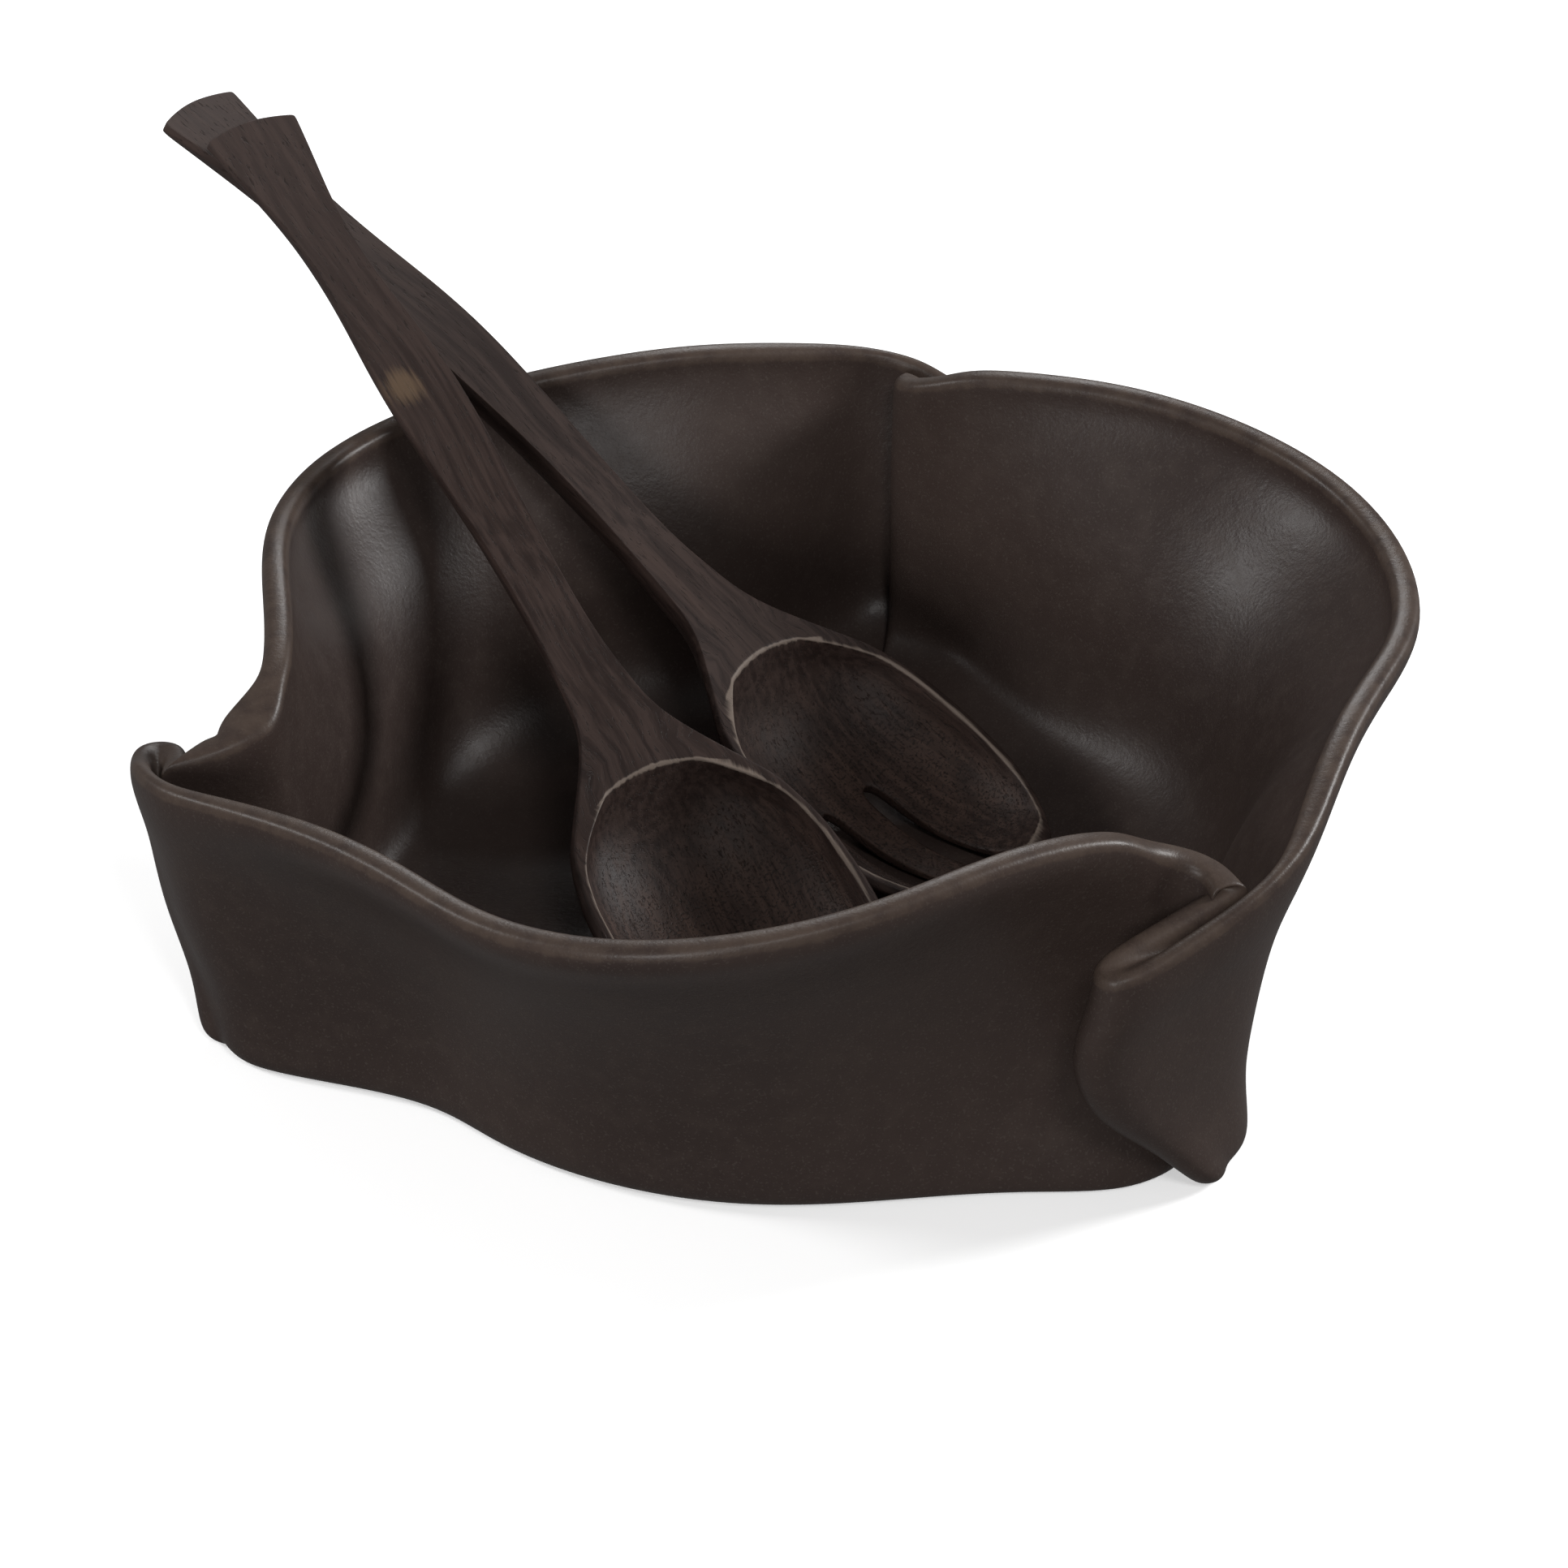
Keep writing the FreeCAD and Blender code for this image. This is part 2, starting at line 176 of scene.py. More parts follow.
# one value for each panel and the flap at its end: front, left and back right
REACH = (7.0, 10.0, 18.0)        # degrees that the flap runs past its inner turn
POCKET = (0.5, 1.6, 6.2)         # half the width of the pocket behind the flap
STANDS_OUT = (13.0, 0.0, 0.0)    # how far the flap stands out beyond the others
SWELL = (4.0, -10.0, -5.0)       # how far the panel's rim swells up
BOW = (0.0, -2.5, 6.0)           # how far the panel's middle bows out

# One panel from its inner turn: the angle, the reach of the rim and of the belly,
# how far the foot goes out to its corner, and the height of the rim.
PANEL = [
    (10.0, 0.828, 0.985, 0.840, 0.970), (19.0, 0.832, 0.945, 0.330, 1.010),
    (29.0, 0.872, 0.925, 0.080, 1.030), (40.0, 0.935, 0.945, 0.000, 1.010),
    (52.0, 0.985, 0.975, 0.000, 0.985), (64.0, 1.000, 0.980, 0.000, 0.950),
    (76.0, 0.978, 0.980, 0.000, 0.930), (87.0, 0.920, 0.950, 0.000, 0.935),
    (98.0, 0.905, 0.920, -0.080, 0.935), (109.0, 0.942, 1.040, 0.520, 0.890),
]
print("one panel turns", PANEL_TURN, "degrees")

# %% [markdown]
# A height on the wall is given as a level: 0 at the foot, 1 at the belly and 2 at the
# rim. A size that changes up the wall then needs three numbers, and every level in
# between is mixed from two of them.

# %% Measuring along tables and up the wall
def mix(a, b, share):
    return a + (b - a) * share


def along_table(table, at, column):
    """Read one column of a table of stations, straight between its rows."""
    if at <= table[0][0]:
        return table[0][column]
    for before, after in zip(table, table[1:]):
        if at <= after[0]:
            return mix(before[column], after[column], (at - before[0]) / (after[0] - before[0]))
    return table[-1][column]


def polar(angle, radius):
    """A point on the table, from an angle in degrees and a radius."""
    turn = math.radians(angle)
    return Vector((radius * math.cos(turn), radius * math.sin(turn), 0.0))


def at_level(level, foot, belly, rim):
    """A value between the foot (level 0), the belly (1) and the rim (2)."""
    return mix(foot, belly, level) if level <= 1.0 else mix(belly, rim, level - 1.0)


print("halfway up to the belly the panels stand at", at_level(0.5, FOOT_R, BELLY_R, RIM_R), "mm")

# %% [markdown]
# A panel is the plain part of the wall. Its foot is round in the middle and runs out
# to a corner at both ends, its rim rises and falls once, and just before the flap it
# swings outwards to get past the next panel.

# %% One panel of the ribbon
FLARE_FROM, FLARE_OVER = 85.0, 35.0      # degrees along the panel where it swings out
FLARE = (0.3, 0.9, 1.0)          # how much it swings at the foot, the belly and the rim
BOWED = (0.0, 0.6, 1.0)          # how much of the bow shows there
FOOT_CORNER_R = CORNER_R - 6.0


def panel_pairs(k, level):
    """Pairs of points across the clay along a panel, each with the height of its rim."""
    pairs = []
    for angle, rim, belly, corner, height in PANEL:
        foot = mix(FOOT_R, FOOT_CORNER_R, corner) - WALL / 2
        r = at_level(level, foot, belly * BELLY_R - WALL / 2, rim * RIM_R)
        r += STANDS_OUT[k] * max(0.0, angle - FLARE_FROM) / FLARE_OVER * at_level(level, *FLARE)
        r += BOW[k] * math.sin(math.radians(angle * 1.5)) * at_level(level, *BOWED)
        rise = RIM_H * height + SWELL[k] * math.sin(math.radians(min(angle, 90.0) * 2))
        turn = FIRST_TURN - PANEL_TURN * k - angle
        pairs.append((polar(turn, r + WALL / 2), polar(turn, r - WALL / 2), rise))
    return pairs


print("a panel has", len(panel_pairs(0, 2.0)), "pairs of points")

# %% [markdown]
# A flap is drawn from its root out along the outer layer, round the tip, and back
# along the inner layer. Its faces are measured from a middle plane, the seam, where
# the two layers meet. From the side it is a leaf: it comes to a corner on the table,
# is fullest two thirds of the way up, and draws in a little under the lip. Behind it
# the clay hooks round the pocket and becomes the next panel.

# %% One flap of the ribbon
# each at the foot, at the belly and at the rim
ROOT_R = (CORNER_R - 10.0, 1.120 * BELLY_R, 0.965 * RIM_R)
TIP_R = (CORNER_R - 6.5, 1.130 * BELLY_R, 0.940 * RIM_R)
INNER_R = (CORNER_R - 16.0, 1.055 * BELLY_R, 0.875 * RIM_R)
LAYER = (5.0, WALL * 0.95, WALL)         # the thickness of one layer of the flap
HOOK_DEPTH = (0.30, 0.85, 1.0)   # how far back the hook goes, as a share

SEAM = 0.55                      # half the gap between the two layers
# the leaf seen from the side: a level, and the share of its reach that the flap has there
LEAF = [(0.0, 0.07), (0.55, 0.40), (1.0, 0.83), (1.35, 0.95), (1.82, 0.88), (2.0, 0.84)]

# Along a flap: the share of its run and how far out of its middle plane the outer
# face lies, then the same for the seam face, then the height of the rim.
FLAP = [
    (0.14, 0.84, 0.04, 1.30, 0.833), (0.50, 0.86, 0.45, 1.00, 0.795),
    (0.85, 0.97, 0.85, 1.00, 0.768), ("tip", 0.82, 1.00, 0.70, 0.757),
    ("end", 0.00, 1.06, 0.00, 0.750), ("tip", -0.82, 1.00, -0.70, 0.757),
    (0.85, -0.99, 0.85, -1.00, 0.768), (0.50, -1.02, 0.45, -1.00, 0.790),
    (0.15, -1.00, 0.00, -1.40, 0.815),
]
PAST_TIP = {"tip": 0.60, "end": 1.05}    # layers beyond the tip of the middle plane

# Round the hook: degrees back from the turn and the side of the pocket for the outer
# face, degrees back and share of the hook's width for the inner, and the rim's height.
HOOK = [(4.2, 1, -0.2, 0.10, 0.830), (2.2, 0, -1.0, 0.55, 0.848), (4.2, -1, 0.4, 1.04, 0.872)]


def root_pair(turn, root_r, layer):
    """The pair where the panel passes into the outer layer of the flap."""
    return polar(turn + 5.2, root_r + 0.62 * layer), polar(turn + 4.6, root_r - 0.1), RIM_H * 0.858


def layer_pairs(k, level, seam_depth, turn, root_r, layer):
    """Pairs out along one layer of the flap, round its tip and back along the other."""
    tip_r = at_level(level, *TIP_R) + STANDS_OUT[k] * at_level(level, *FLARE)
    root = polar(turn + 0.5, root_r)
    tip = polar(turn - REACH[k] * along_table(LEAF, level, 1), tip_r)
    along = (tip - root).normalized()
    outward = Vector((-along.y, along.x, 0.0))
    if outward.dot(root) < 0:
        outward.negate()
    run = (tip - root).length
    pairs = []
    for share, lift, seam_share, seam_lift, height in FLAP:
        if share in PAST_TIP:
            face = tip + along * (layer * PAST_TIP[share])
        else:
            face = root + along * (run * share)
        face = face + outward * (layer * lift)
        seam = root + along * (run * seam_depth * seam_share) + outward * (SEAM * seam_lift)
        pairs.append((face, seam, RIM_H * height))
    return pairs


def hook_pairs(k, level, turn, root_r):
    """Pairs round the hook behind the flap, up to the start of the next panel."""
    inner_r = at_level(level, *INNER_R)
    depth = at_level(level, *HOOK_DEPTH)
    gap = at_level(level, 0.4, 0.6 * POCKET[k], POCKET[k])
    panel_r = inner_r + at_level(level, 5.0, -0.6, -0.6 - 0.4 * POCKET[k])
    width = root_r - inner_r + WALL * 0.5
    middle = root_r - 0.55 * width
    pairs = [(polar(turn - outer * depth, middle + side * gap),
              polar(turn - inner * depth, root_r - share * width), RIM_H * height)
             for outer, side, inner, share, height in HOOK]
    start = polar(turn - 6.8 * depth, panel_r), polar(turn - 5.6 * depth, panel_r - WALL)
    return pairs + [(*start, RIM_H * 0.915)]


def flap_pairs(k, level, seam_depth):
    """Pairs across the clay round the flap that ends panel k."""
    turn = FIRST_TURN - PANEL_TURN * (k + 1)
    root_r = at_level(level, *ROOT_R) + STANDS_OUT[k] * at_level(level, *FLARE)
    layer = at_level(level, *LAYER)
    pairs = [root_pair(turn, root_r, layer)]
    pairs += layer_pairs(k, level, seam_depth, turn, root_r, layer)
    return pairs + hook_pairs(k, level, turn, root_r)


def ribbon(level, seam_depth):
    """All the pairs once round the bowl."""
    pairs = []
    for k in range(PANELS):
        pairs += panel_pairs(k, level) + flap_pairs(k, level, seam_depth)
    return pairs


print("the ribbon has", len(ribbon(2.0, 1.0)), "pairs of points")

# %% [markdown]
# The ribbon is drawn again at each height that matters, which gives the rows of the
# cage. They start under the foot, climb the outside, cross the lip and go down the
# inside to the floor. On the lip the two faces are pinched together so that it comes
# out round, and the seam is shallow: it is only a groove between the two layers, and
# below it the flap is solid.

# %% The rows from the foot, over the lip, to the floor
OUTSIDE, INSIDE = 0, 1


def row(level, side, height, inset=0.0, seam_depth=0.3, pinch=0.0):
    """One closed loop of places; pinch draws it into the clay."""
    places = []
    for pair in ribbon(level, seam_depth):
        here, across = Vector(pair[side]), Vector(pair[1 - side])
        here = here.lerp(across, pinch)
        here.z = 0.0
        here *= (here.length - inset) / here.length
        here.z = height(pair[2])
        places.append(here * MM)
    return places


ROWS = [
    row(0.0, OUTSIDE, lambda rise: 0.0, inset=60.0),
    row(0.0, OUTSIDE, lambda rise: 0.0, inset=14.0),
    row(0.08, OUTSIDE, lambda rise: 0.0, inset=0.4, pinch=0.26),
    row(0.16, OUTSIDE, lambda rise: 3.5, inset=-0.6),
    row(0.55, OUTSIDE, lambda rise: 0.22 * rise, inset=2.5),
    row(1.0, OUTSIDE, lambda rise: 0.45 * rise),
    row(1.35, OUTSIDE, lambda rise: 0.70 * rise),
    row(1.82, OUTSIDE, lambda rise: rise - 13.0),
    row(2.0, OUTSIDE, lambda rise: rise - 5.0, seam_depth=0.5),
    row(2.0, OUTSIDE, lambda rise: rise - 1.0, seam_depth=0.9, pinch=0.02),
    row(2.0, OUTSIDE, lambda rise: rise + 1.2, seam_depth=1.0, pinch=0.17),
    row(2.0, INSIDE, lambda rise: rise + 1.2, seam_depth=1.0, pinch=0.17),
    row(2.0, INSIDE, lambda rise: rise - 1.0, seam_depth=0.35, pinch=0.02),
    row(2.0, INSIDE, lambda rise: rise - 5.0, seam_depth=0.05),
    row(1.82, INSIDE, lambda rise: rise - 13.0, seam_depth=0.03),
    row(1.35, INSIDE, lambda rise: 0.70 * rise, seam_depth=0.02),
    row(1.0, INSIDE, lambda rise: 0.46 * rise, seam_depth=0.02),
    row(0.55, INSIDE, lambda rise: 0.26 * rise, seam_depth=0.02),
    row(0.0, INSIDE, lambda rise: FLOOR + 4.5, inset=4.5, seam_depth=0.0),
    row(0.0, INSIDE, lambda rise: FLOOR + 0.4, inset=14.0, seam_depth=0.0),
    row(0.0, INSIDE, lambda rise: FLOOR, inset=25.0, seam_depth=0.0),
    row(0.0, INSIDE, lambda rise: FLOOR, inset=70.0, seam_depth=0.0),
]
LIP_ROWS = (9, 10, 11, 12)       # rows on the two edges of the lip, where glaze runs thin
print("the cage has", len(ROWS), "rows")

# %% [markdown]
# A closed loop of points stands for the first row. Extruding its edges makes the next
# row, which is moved to its places, and so on: the same as pulling clay up by hand.
# Two filled loops close the foot and the floor. The subdivision surface is applied
# at once, so that the piece measures what it shows.

# %% Extrude the cage
SMOOTHING = 3                    # steps of subdivision on every piece


def loop_edges(clay, loop):
    """The edges that join a closed loop of points."""
    return [clay.edges.get((a, b)) for a, b in zip(loop, loop[1:] + loop[:1])]


def pull(clay, loop, places):
    """Extrude a loop of points and move the new loop to its places."""
    made = bmesh.ops.extrude_edge_only(clay, edges=loop_edges(clay, loop))["geom"]
    fresh = {item for item in made if isinstance(item, bmesh.types.BMVert)}
    new_loop = []
    for vert in loop:
        partner = next(e.other_vert(vert) for e in vert.link_edges if e.other_vert(vert) in fresh)
        new_loop.append(partner)
    for vert, place in zip(new_loop, places):
        vert.co = place
    return new_loop


def object_from(clay, name):
    """Finish a bmesh as an object that sits at the origin."""
    mesh = bpy.data.meshes.new(name)
    clay.to_mesh(mesh)
    clay.free()
    for face in mesh.polygons:
        face.use_smooth = True
    made = bpy.data.objects.new(name, mesh)
    bpy.context.scene.collection.objects.link(made)
    return made


def smooth_over(thing):
    """Apply a subdivision surface."""
    modifier = thing.modifiers.new("smooth", "SUBSURF")
    modifier.levels = modifier.render_levels = SMOOTHING
    modifier.boundary_smooth = "PRESERVE_CORNERS"
    graph = bpy.context.evaluated_depsgraph_get()
    smoothed = bpy.data.meshes.new_from_object(
        thing.evaluated_get(graph), preserve_all_data_layers=True, depsgraph=graph)
    thing.modifiers.clear()
    thing.data = smoothed
    triangles = sum(len(face.vertices) - 2 for face in smoothed.polygons)
    print(thing.name, "has", triangles, "triangles")


def make_bowl():
    clay = bmesh.new()
    thin = clay.verts.layers.float.new("thin_glaze")
    made = bmesh.ops.create_circle(clay, cap_ends=False, radius=FOOT_R * MM, segments=len(ROWS[0]))
    start = made["verts"]
    for vert, place in zip(start, ROWS[0]):
        vert.co = place
    loops = [start]
    for places in ROWS[1:]:
        loops.append(pull(clay, loops[-1], places))
    for at in LIP_ROWS:
        for vert in loops[at]:
            vert[thin] = 1.0
    for loop in (loops[0], loops[-1]):
        bmesh.ops.edgeloop_fill(clay, edges=loop_edges(clay, loop))
    bmesh.ops.recalc_face_normals(clay, faces=clay.faces)
    bowl = object_from(clay, "folded_bowl")
    smooth_over(bowl)
    return bowl


bowl = make_bowl()
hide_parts("bowl")
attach(bowl, "bowl")
print("bowl:", [round(side / MM) for side in bowl.dimensions], "mm")

# %% [markdown]
# The two servers are a pair, sawn from the same board to one outline and carved by
# hand: a flat face with a crisp arris, a round back, an oval hollow in the scoop and
# a handle that narrows, swells and ends in a fan. Only the fork has the two tapered
# gaps that leave three tines.
#
# Carving suggests the way to build them. Two grids of the same squares make the face
# and the back. On both, the squares in the gaps are deleted, and one bridge between
# the two outlines then makes every side wall at once, the gaps' own walls included.
# The rows bow with the tip, so the grid follows the oval. A crease along the arrises
# keeps them crisp, and a subdivision surface does the sanding.

# %% Sizes of the servers
LENGTH, SCOOP_L, SCOOP_HALF, SCOOP_D = 305.0, 96.0, 32.0, 21.0
SCOOP_WALL, LAND, EDGE = 3.6, 2.4, 1.8
NECK_W, SWELL_W, END_W = 13.2, 18.6, 23.2
THICK, RISE = 10.5, 9.0
GAP, GAP_END, PITCH, TINE_L = 5.2, 8.0, 16.5, 51.5
RUN = LENGTH - SCOOP_L

# station along the server, half its width, depth of its back, height of its face
HALF_WIDTH, DEPTH, FACE = 1, 2, 3        # the columns of the tables
STATIONS = [(s * SCOOP_L, w * SCOOP_HALF, d * SCOOP_D, lift * SCOOP_D) for s, w, d, lift in [
    (-0.005, 0.22, 0.14, 0.21), (0.05, 0.62, 0.36, 0.17), (0.15, 0.86, 0.62, 0.09),
    (0.30, 1.04, 0.90, 0.02), (0.47, 1.08, 1.03, 0.00), (0.64, 1.05, 1.02, 0.00),
    (0.79, 0.92, 0.88, 0.00), (0.91, 0.70, 0.72, 0.01), (1.00, 0.47, 0.61, 0.03),
    (1.09, 0.32, 0.54, 0.07)]]
STATIONS += [
    (SCOOP_L + 0.16 * RUN, NECK_W * 0.55, THICK * 0.96, RISE * 0.26),
    (SCOOP_L + 0.26 * RUN, NECK_W * 0.52, THICK * 0.98, RISE * 0.56),
    (SCOOP_L + 0.38 * RUN, NECK_W * 0.60, THICK, RISE * 0.86),
    (SCOOP_L + 0.50 * RUN, SWELL_W * 0.53, THICK, RISE),
    (SCOOP_L + 0.60 * RUN, SWELL_W * 0.51, THICK, RISE * 1.02),
    (SCOOP_L + 0.71 * RUN, NECK_W * 0.52, THICK * 0.95, RISE * 0.98),
    (SCOOP_L + 0.82 * RUN, NECK_W * 0.52, THICK * 0.9, RISE * 0.90),
    (SCOOP_L + 0.92 * RUN, END_W * 0.46, THICK * 0.82, RISE * 0.80),
    (SCOOP_L + 0.985 * RUN, END_W * 0.55, THICK * 0.74, RISE * 0.72),
    (LENGTH, END_W * 0.55, THICK * 0.66, RISE * 0.70)]

# station along the hollow, half its width and its depth
HOLLOW = [(s * SCOOP_L, w * (SCOOP_HALF - LAND), d * (SCOOP_D - SCOOP_WALL)) for s, w, d in [
    (0.045, 0.20, 0.18), (0.11, 0.72, 0.50), (0.20, 0.92, 0.76), (0.33, 1.06, 0.97),
    (0.48, 1.09, 1.05), (0.63, 1.06, 1.02), (0.76, 0.94, 0.86), (0.86, 0.74, 0.58),
    (0.905, 0.44, 0.26), (0.93, 0.20, 0.10)]]
# across the server: share of the half width, share of the depth
BACK_PROFILE = [(0.0, 1.04), (0.25, 1.03), (0.66, 0.88), (0.97, 0.42), (1.04, 0.12), (2.5, 0.10)]
HOLLOW_PROFILE = [(0.0, 1.04), (0.24, 1.03), (0.62, 0.90), (0.94, 0.46), (1.03, 0.0), (2.5, 0.0)]


def face_height(y):
    return along_table(STATIONS, y, FACE)


def back_height(x, y):
    half, depth = along_table(STATIONS, y, HALF_WIDTH), along_table(STATIONS, y, DEPTH)
    return face_height(y) - max(EDGE, depth * along_table(BACK_PROFILE, abs(x) / half, 1))


def hollow_height(x, y):
    half, depth = along_table(HOLLOW, y, HALF_WIDTH), along_table(HOLLOW, y, DEPTH)
    return face_height(y) - depth * along_table(HOLLOW_PROFILE, abs(x) / half, 1)


print("the hollow is", round(-hollow_height(0.0, SCOOP_L / 2), 1), "mm deep in the middle")

# %% [markdown]
# One net of rows and columns serves the face and the back. Two columns on each side
# run along the gaps, the last but one is the rim of the hollow, and the last is the
# arris. The hollow ends at the neck in a round, so its last rows are narrower, and a
# broad flat shoulder is left beside them.

# %% The grid that both faces share
NECK_ROW, NARROWS_FROM = 90.6, 85.0      # where the hollow ends, and where it draws in
# each row: where it crosses the middle, where it ends at the side, and whether the
# hollow is already open there
SCOOP_ROWS = [
    (-0.5, 5.0, False), (4.4, 13.0, False), (11.0, 20.5, True), (19.5, 29.0, True),
    (29.5, 38.0, True), (40.5, 45.0, True), (51.5, 52.5, True), (61.5, 59.5, True),
    (70.5, 65.5, True), (78.5, 70.5, True), (85.5, 75.5, True), (NECK_ROW, 80.5, False),
    (97.0, 91.0, False), (106.0, 104.5, False),
]
HANDLE_ROWS = [(SCOOP_L + share * RUN,) * 2 + (False,)
               for share in (0.10, 0.16, 0.26, 0.38, 0.50, 0.60, 0.71, 0.82, 0.91, 0.965)]
END_ROWS = [(LENGTH - 1.6, LENGTH - 3.6, False), (LENGTH + 0.4, LENGTH - 2.2, False)]
GRID_ROWS = SCOOP_ROWS + HANDLE_ROWS + END_ROWS
GAP_ROOT = 6                     # the row where the gaps end
HOLLOW_FIRST, HOLLOW_LAST = 1, 11
COLUMNS = 6                      # lines on each side of the middle
BACK_FULLER = 1.05               # the back's outline swells a little past the face's


def hollow_edge(middle, side, half):
    """How far out the rim of the hollow stands on one row."""
    if HOLLOW[0][0] - 1.0 < middle < HOLLOW[-1][0]:
        edge = min(along_table(HOLLOW, side, HALF_WIDTH), half - LAND * 0.8)
        return edge * (0.86 if middle > NARROWS_FROM else 1.0)
    return (0.50 if middle == NECK_ROW else 0.88) * half


def column_places(middle, side):
    """How far out the lines of one row stand, from the middle to the arris."""
    half = along_table(STATIONS, side, HALF_WIDTH)
    cut = hollow_edge(middle, side, half)
    if middle <= TINE_L:
        gap = mix(GAP_END, GAP, max(0.0, middle) / TINE_L)
        near, far = (PITCH - gap) / 2, (PITCH + gap) / 2
    else:
        near, far = 0.18 * cut, 0.40 * cut
    halfway = max(mix(far, cut, 0.52), 0.66 * cut)
    return [0.0, near, far, halfway, max(0.93 * cut, mix(halfway, cut, 0.6)), cut, 0.99 * half]


def lay_grid(blank, top):
    """A grid of squares moved onto the face (top) or the back of a server."""
    made = bmesh.ops.create_grid(
        blank, x_segments=2 * COLUMNS, y_segments=len(GRID_ROWS) - 1, size=1.0)
    order = sorted(made["verts"], key=lambda v: (round(v.co.y, 4), round(v.co.x, 4)))
    wide = 2 * COLUMNS + 1
    net = [order[i * wide:(i + 1) * wide] for i in range(len(GRID_ROWS))]
    for verts, (middle, side, hollow) in zip(net, GRID_ROWS):
        places = column_places(middle, side)
        for i, vert in enumerate(verts):
            line = abs(i - COLUMNS)
            x = math.copysign(places[line], i - COLUMNS) if line else 0.0
            y = mix(middle, side, (places[line] / places[-1]) ** 2)
            if top:
                z = hollow_height(x, y) if hollow and line < COLUMNS - 1 else face_height(y)
            else:
                x *= BACK_FULLER if line == COLUMNS else 1.0
                z = back_height(x, y)
            vert.co = Vector((x, y, z))
    return net


print("each face is a net of", len(GRID_ROWS), "by", 2 * COLUMNS + 1, "points")

# %% [markdown]
# The gaps are sawn by deleting their squares. What is left open on both nets is the
# whole outline, gaps included, so one bridge closes the piece. Before that the edges
# are marked: the arrises and the rim of the hollow get a crease, which keeps them
# crisp, and the points on them and in the hollow carry the amounts that the finish
# needs later.

# %% Saw, mark and bridge
FACE_CREASE, BACK_CREASE, RIM_CREASE = 0.62, 0.35, 0.72
ARRIS_WEAR, RIM_WEAR = 0.8, 1.0
NECK_SHADE = 0.45                # the hollow's finish fades towards the neck
RIM_SIDE = 4.0                   # an edge this far out belongs to the side of the rim


def is_gap(row, column):
    """Squares of the grid that are sawn out for the two gaps."""
    return row < GAP_ROOT and abs(column + 0.5 - COLUMNS) == 1.5


def saw_gaps(blank, nets):
    gone = []
    for net in nets:
        for r in range(len(net) - 1):
            for c in range(2 * COLUMNS):
                if is_gap(r, c):
                    corners = {net[r][c], net[r][c + 1], net[r + 1][c], net[r + 1][c + 1]}
                    gone += [f for f in net[r][c].link_faces if set(f.verts) == corners]
    bmesh.ops.delete(blank, geom=gone, context="FACES")


def mark_outline(outline, face_net, worn, crease):
    """Crease the two outlines and note the wear on the face's arris."""
    on_face = {vert for net_row in face_net for vert in net_row if vert.is_valid}
    for edge in outline:
        edge[crease] = FACE_CREASE if edge.verts[0] in on_face else BACK_CREASE
    for vert in on_face:
        if vert.is_boundary:
            vert[worn] = ARRIS_WEAR


def mark_hollow(blank, face_net, worn, hollow, crease):
    """Note the inside of the hollow, and crease and wear its rim."""
    lines = [(r, COLUMNS + side * (COLUMNS - 1))
             for side in (-1, 1) for r in range(HOLLOW_FIRST, HOLLOW_LAST + 1)]
    lines += [(r, c) for r in (HOLLOW_FIRST, HOLLOW_LAST) for c in range(1, 2 * COLUMNS)]
    rim = {face_net[r][c] for r, c in lines if face_net[r][c].is_valid}
    for r in range(HOLLOW_FIRST + 1, HOLLOW_LAST - 1):
        for vert in face_net[r][2:-2]:
            if vert.is_valid:
                vert[hollow] = 1.0 if r < HOLLOW_LAST - 3 else NECK_SHADE
    for vert in rim:
        vert[worn] = RIM_WEAR
    for edge in blank.edges:
        a, b = edge.verts
        if not edge.is_boundary and a in rim and b in rim:
            runs_along = abs(a.co.x - b.co.x) < abs(a.co.y - b.co.y)
            if not runs_along or min(abs(a.co.x), abs(b.co.x)) > RIM_SIDE:
                edge[crease] = RIM_CREASE


def make_server(name, node, slotted, place, turn):
    blank = bmesh.new()
    worn = blank.verts.layers.float.new("worn")
    grain = blank.verts.layers.float_vector.new("grain")
    hollow = blank.verts.layers.float.new("hollow")
    crease = blank.edges.layers.float.new("crease_edge")
    nets = [lay_grid(blank, True), lay_grid(blank, False)]
    if slotted:
        saw_gaps(blank, nets)
    outline = [edge for edge in blank.edges if edge.is_boundary]
    mark_outline(outline, nets[0], worn, crease)
    mark_hollow(blank, nets[0], worn, hollow, crease)
    bmesh.ops.bridge_loops(blank, edges=outline)
    bmesh.ops.recalc_face_normals(blank, faces=blank.faces)
    for vert in blank.verts:
        vert[grain] = vert.co * MM
    stand = Matrix.Translation(Vector(place) * MM) @ turn.to_matrix().to_4x4()
    blank.transform(stand @ Matrix.Scale(MM, 4))
    server = object_from(blank, name)
    smooth_over(server)
    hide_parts(node)
    return server


print("a fork loses", 2 * GAP_ROOT, "squares from each face")

# %% [markdown]
# The fork lies in the bowl with its handle over the rim, and the spoon lies over the
# fork with its handle across the other's. Each place and turn is the one that the
# solid piece has, a millimetre or so clear of whatever it would lean on.

# %% Stand the servers in the bowl
SPOON_PLACE = (10.5, -70.0, 14.983)
SPOON_TURN = Quaternion((-0.938151, -0.208739, -0.035523, -0.273932))
FORK_PLACE = (56.4, -0.5, 15.394)
FORK_TURN = Quaternion((0.885374, 0.180539, 0.096833, 0.417303))

spoon = make_server("wooden_spoon", "serving_spoon", False, SPOON_PLACE, SPOON_TURN)
fork = make_server("wooden_fork", "slotted_server", True, FORK_PLACE, FORK_TURN)
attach(spoon, "spoon")
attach(fork, "fork")
for server in (spoon, fork):
    print(server.name + ":", [round(side / MM) for side in server.dimensions], "mm")

# %% [markdown]
# Both finishes are made from noise, so they have no edges, seams or repeats. The
# shader maths is written as ordinary Python: a small class wraps a socket, and each
# + - or * on it adds a Math node. Every other node comes from one method.

